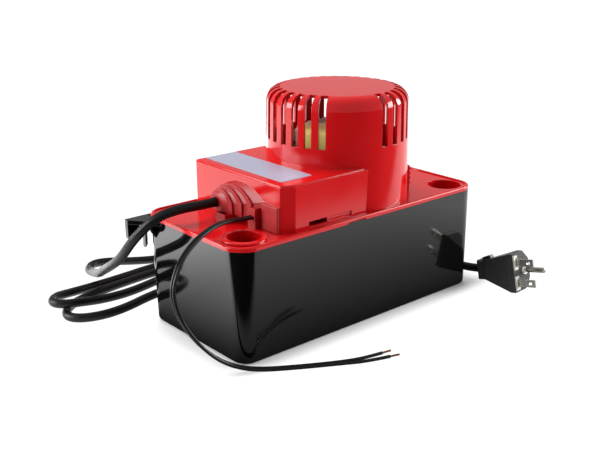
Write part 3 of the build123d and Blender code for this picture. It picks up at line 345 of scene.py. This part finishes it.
def layRing(name, look, material):
    # upright tube with a square-cut section
    inner, outer, low, high, steps = (look[key] for key in ("inner", "outer", "low", "high", "steps"))
    corners = ((inner, low), (outer, low), (outer, high), (inner, high))
    points, faces = [], []
    for k in range(steps):
        turn = 2 * math.pi * k / steps
        for radius, height in corners:
            points.append((look["x"] + radius * math.cos(turn), look["y"] + radius * math.sin(turn), height))
        here, ahead = 4 * k, 4 * ((k + 1) % steps)
        for c in range(4):
            after = (c + 1) % 4
            faces.append((here + c, here + after, ahead + after, ahead + c))
    mesh = bpy.data.meshes.new(name)
    mesh.from_pydata(points, [], faces)
    for face in mesh.polygons:
        face.use_smooth = True
    mesh.set_sharp_from_angle(angle=creaseAngle)
    mesh.materials.append(material)
    ring = bpy.data.objects.new(name, mesh)
    scene.collection.objects.link(ring)
    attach(ring, "housing")


# moulded sleeve that hangs from the lid under the spare inlet
sleeveSet = {"x": 0.110, "y": -0.0428, "inner": 0.0143, "outer": 0.0157,
             "low": 0.068, "high": 0.0882, "steps": 96}
layRing("spareInletSleeve", sleeveSet, redAbs)
print("tank skin and sleeve made")

cordSection = {"roundness": 5, "order": 3}


def layCord(name, look, points, material, cadNode):
    line = bpy.data.curves.new(name, "CURVE")
    line.dimensions = "3D"
    line.bevel_depth = look["radius"]
    line.bevel_resolution = cordSection["roundness"]
    line.resolution_u = look["fineness"]
    line.use_fill_caps = True
    spline = line.splines.new("NURBS")
    spline.points.add(len(points) - 1)
    for point, place in zip(spline.points, points):
        point.co = (*place, 1.0)
    spline.order_u = cordSection["order"]
    spline.use_endpoint_u = True
    cord = bpy.data.objects.new(name, line)
    scene.collection.objects.link(cord)
    line.materials.append(material)
    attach(cord, "housing")
    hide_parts(cadNode)
    return cord


powerCordSet = {"radius": 0.00375, "fineness": 8, "length": 1.846}
powerCordRoute = [
    (-0.076, 0.012, 0.1032), (-0.106, 0.012, 0.1032), (-0.126, 0.0135, 0.1038), (-0.143, 0.020, 0.0995),
    (-0.156, 0.032, 0.083), (-0.1605, 0.048, 0.062), (-0.156, 0.074, 0.047), (-0.146, 0.103, 0.033),
    (-0.135, 0.133, 0.018), (-0.126, 0.160, 0.008), (-0.1215, 0.180, 0.004), (-0.111, 0.191, 0.0038),
    (-0.098, 0.189, 0.0038), (-0.084, 0.177, 0.0038), (-0.060, 0.162, 0.0038), (-0.024, 0.154, 0.0038),
    (0.019, 0.162, 0.0038), (0.058, 0.174, 0.0038), (0.092, 0.172, 0.0038), (0.114, 0.151, 0.0038),
    (0.111, 0.124, 0.0038), (0.084, 0.114, 0.0038), (0.050, 0.127, 0.0038), (0.014, 0.140, 0.0038),
    (-0.028, 0.142, 0.0038), (-0.072, 0.147, 0.0038), (-0.108, 0.143, 0.0038), (-0.140, 0.140, 0.0045),
    (-0.166, 0.1315, 0.0085), (-0.182, 0.124, 0.012), (-0.190, 0.113, 0.0126), (-0.184, 0.1035, 0.0126),
    (-0.170, 0.102, 0.011), (-0.148, 0.106, 0.006), (-0.120, 0.109, 0.0038), (-0.092, 0.115, 0.0038),
    (-0.066, 0.122, 0.0038), (-0.040, 0.120, 0.0038), (-0.015, 0.105, 0.0038), (0.008, 0.087, 0.0038),
    (0.033, 0.082, 0.0038), (0.051, 0.096, 0.0038), (0.046, 0.117, 0.0038), (0.022, 0.124, 0.0038),
    (-0.008, 0.123, 0.0038), (-0.038, 0.131, 0.0038), (-0.072, 0.1355, 0.0038), (-0.105, 0.1325, 0.0038),
    (-0.135, 0.1285, 0.0038), (-0.160, 0.123, 0.0038), (-0.178, 0.112, 0.0038), (-0.185, 0.098, 0.0038),
    (-0.178, 0.087, 0.0038), (-0.160, 0.081, 0.0038), (-0.138, 0.0825, 0.0038), (-0.110, 0.091, 0.0038),
    (-0.078, 0.094, 0.0038), (-0.042, 0.082, 0.0038), (0.005, 0.069, 0.0038), (0.052, 0.0675, 0.0038),
    (0.097, 0.071, 0.0038), (0.135, 0.061, 0.0038), (0.153, 0.033, 0.0038), (0.1535, -0.003, 0.0038),
    (0.144, -0.0401, 0.0038), (0.1454, -0.0627, 0.00885),
]
powerCord = layCord("powerCord", powerCordSet, powerCordRoute, cordPvc, "power_cord")

leadSet = {"radius": 0.0013, "fineness": 10, "length": 0.31}
backLeadRoute = [
    (-0.076, -0.0249, 0.099), (-0.094, -0.0249, 0.099), (-0.106, -0.025, 0.1006),
    (-0.119, -0.0271, 0.1016), (-0.131, -0.0306, 0.1012), (-0.1435, -0.0341, 0.0984),
    (-0.154, -0.0369, 0.0937), (-0.164, -0.0406, 0.0875), (-0.171, -0.0436, 0.0795),
    (-0.1754, -0.0456, 0.0702), (-0.1754, -0.0476, 0.0598), (-0.1726, -0.0496, 0.0486),
    (-0.1668, -0.0526, 0.0366), (-0.1584, -0.0556, 0.0244), (-0.147, -0.0596, 0.0128),
    (-0.133, -0.0647, 0.0046), (-0.119, -0.0729, 0.0015), (-0.0955, -0.0873, 0.0014),
    (-0.0692, -0.1018, 0.0014), (-0.051, -0.1092, 0.0014), (-0.035, -0.1119, 0.0014),
]
frontLeadRoute = [
    (-0.076, -0.0277, 0.099), (-0.094, -0.0277, 0.099), (-0.106, -0.0278, 0.1006),
    (-0.119, -0.0299, 0.1016), (-0.131, -0.0334, 0.1012), (-0.1435, -0.0369, 0.0984),
    (-0.154, -0.0397, 0.0937), (-0.164, -0.0434, 0.0875), (-0.171, -0.0464, 0.0795),
    (-0.1754, -0.0484, 0.0702), (-0.1754, -0.0504, 0.0598), (-0.1726, -0.0524, 0.0486),
    (-0.1668, -0.0554, 0.0366), (-0.1588, -0.0584, 0.0244), (-0.1478, -0.0623, 0.0128),
    (-0.1342, -0.0672, 0.0046), (-0.1205, -0.0752, 0.0015), (-0.0969, -0.0897, 0.0014),
    (-0.0706, -0.1043, 0.0014), (-0.0524, -0.1146, 0.0014), (-0.0346, -0.1198, 0.0014),
]
backLead = layCord("backLead", leadSet, backLeadRoute, leadPvc, "back_lead")
frontLead = layCord("frontLead", leadSet, frontLeadRoute, leadPvc, "front_lead")
print("cords laid")

# white floor. Seen directly it is white, with a soft shadow close to the tank that is partly real and partly
# painted shade. Reflections see a painted reflection on it instead: a graded tone, dark beside the tank,
# brighter further out, and brightest towards the back left
floorSet = {"half": 3.0, "paper": "#F4F4F4", "glow": 1.12, "tankHalf": (0.13, 0.06, 0.0),
            "shade": 0.022, "nearVeil": 0.12, "farVeil": 0.97,
            "reach": 0.24, "nearTone": 0.06, "frontTone": 1.25, "lampTone": 4.2,
            "lampAxis": (-1, 1, 0), "lampStart": -0.05, "lampEnd": 0.25}
white = (1, 1, 1, 1)
floorMesh = bpy.data.meshes.new("studioFloor")
half = floorSet["half"]
floorCorners = [(-half, -half, 0), (half, -half, 0), (half, half, 0), (-half, half, 0)]
floorMesh.from_pydata(floorCorners, [], [(0, 1, 2, 3)])
floor = bpy.data.objects.new("studioFloor", floorMesh)
scene.collection.objects.link(floor)
floorPaper, tree, output, place = newMaterial("whitePaperSweep")


def measureFloor(operation, source, other=None):
    settings = {"operation": operation}
    if other is not None:
        settings[1] = other
    return addNode(tree, "ShaderNodeVectorMath", settings, {0: source}).outputs


def smoothFade(source, begin, finish, low, high):
    settings = {"interpolation_type": "SMOOTHSTEP",
                "From Min": begin, "From Max": finish, "To Min": low, "To Max": high}
    return addNode(tree, "ShaderNodeMapRange", settings, {"Value": source}).outputs["Result"]


def multiply(first, second):
    return addNode(tree, "ShaderNodeMath", {"operation": "MULTIPLY"}, {0: first, 1: second}).outputs["Value"]


def mixShader(share, first, second):
    return addNode(tree, "ShaderNodeMixShader", None, {0: share, 1: first, 2: second}).outputs["Shader"]


rays = addNode(tree, "ShaderNodeLightPath")
paper = addNode(tree, "ShaderNodeBsdfDiffuse", {"Color": toLinear(floorSet["paper"])})
glow = addNode(tree, "ShaderNodeEmission", {"Color": white, "Strength": floorSet["glow"]})
folded = measureFloor("ABSOLUTE", place)["Vector"]
beside = measureFloor("SUBTRACT", folded, floorSet["tankHalf"])["Vector"]
outside = measureFloor("MAXIMUM", beside, (0, 0, 0))["Vector"]
away = measureFloor("LENGTH", outside)["Value"]  # how far from the tank's foot
lampSide = measureFloor("DOT_PRODUCT", place, floorSet["lampAxis"])["Value"]
farTone = smoothFade(lampSide, floorSet["lampStart"], floorSet["lampEnd"],
                     floorSet["frontTone"], floorSet["lampTone"])
level = addNode(tree, "ShaderNodeMapRange", {"From Max": floorSet["reach"], "To Min": floorSet["nearTone"]},
                {"Value": away, "To Max": farTone}).outputs["Result"]
# each fade: axis over the floor, where it starts and ends, and what is left of the tone there
fades = (
    ((-0.656, -0.755, 0), 0.15, 0.22, 0.01),
    ((0, -1, 0), 0.25, 0.34, 0.06),
    ((-0.707, 0.707, 0), 0.30, 0.42, 0.5),
)
for axis, begin, finish, remains in fades:
    along = measureFloor("DOT_PRODUCT", place, axis)["Value"]
    level = multiply(level, smoothFade(along, begin, finish, 1.0, remains))
# painted reflection: glossy rays see this position-graded glow in place of the white floor, up to about four
# times brighter than white on the back left
mirrorTone = addNode(tree, "ShaderNodeEmission", {"Color": white}, {"Strength": level})
# partly painted shadow: within a few centimetres of the tank's foot the floor turns from white glow to lit
# paper, so it is darker there by position and its real shadow also shows
shadow = smoothFade(away, 0.0, floorSet["shade"], floorSet["nearVeil"], floorSet["farVeil"])
veil = multiply(rays.outputs["Is Camera Ray"], shadow)
seen = mixShader(veil, paper.outputs["BSDF"], glow.outputs["Emission"])
shown = mixShader(rays.outputs["Is Glossy Ray"], seen, mirrorTone.outputs["Emission"])
tree.links.new(shown, output.inputs["Surface"])
floorMesh.materials.append(floorPaper)

# studio room: the background is full white, its ambient light is weaker, and reflections see it as grey
studioSet = {"ambient": 0.25, "mirrored": 0.38}
world = bpy.data.worlds.new("whiteStudio")
scene.world = world
world.use_nodes = True
skyTree = world.node_tree
skyTree.nodes.clear()
skyOut = addNode(skyTree, "ShaderNodeOutputWorld")
skyRays = addNode(skyTree, "ShaderNodeLightPath")
mirrored = addNode(skyTree, "ShaderNodeMapRange",
                   {"To Min": studioSet["ambient"], "To Max": studioSet["mirrored"]},
                   {"Value": skyRays.outputs["Is Glossy Ray"]})
skyLevel = addNode(skyTree, "ShaderNodeMath", {"operation": "MAXIMUM"},
                   {0: mirrored.outputs["Result"], 1: skyRays.outputs["Is Camera Ray"]})
sky = addNode(skyTree, "ShaderNodeBackground", {"Color": white}, {"Strength": skyLevel.outputs["Value"]})
skyTree.links.new(sky.outputs["Background"], skyOut.inputs["Surface"])

# the top lamp is left out of reflections
lamps = {
    "leftPanel": {"place": (-0.87, 0.50, 0.38), "aim": (-0.05, 0.0, 0.08), "size": (0.7, 0.5),
                  "watts": 10, "mirrored": True},
    "topPanel": {"place": (0.0, 0.45, 1.0), "aim": (0.0, 0.0, 0.10), "size": (0.9, 0.9),
                 "watts": 12.5, "mirrored": False},
    "rightPanel": {"place": (0.93, -0.54, 0.40), "aim": (0.0, 0.0, 0.10), "size": (0.7, 0.5),
                   "watts": 13, "mirrored": True},
}
for name, lamp in lamps.items():
    light = bpy.data.lights.new(name, "AREA")
    light.shape = "RECTANGLE"
    light.size, light.size_y = lamp["size"]
    light.energy = lamp["watts"]
    panel = bpy.data.objects.new(name, light)
    panel.location = lamp["place"]
    panel.rotation_euler = (Vector(lamp["aim"]) - Vector(lamp["place"])).to_track_quat("-Z", "Y").to_euler()
    panel.visible_camera = False
    panel.visible_glossy = lamp["mirrored"]
    scene.collection.objects.link(panel)
print("studio lit")
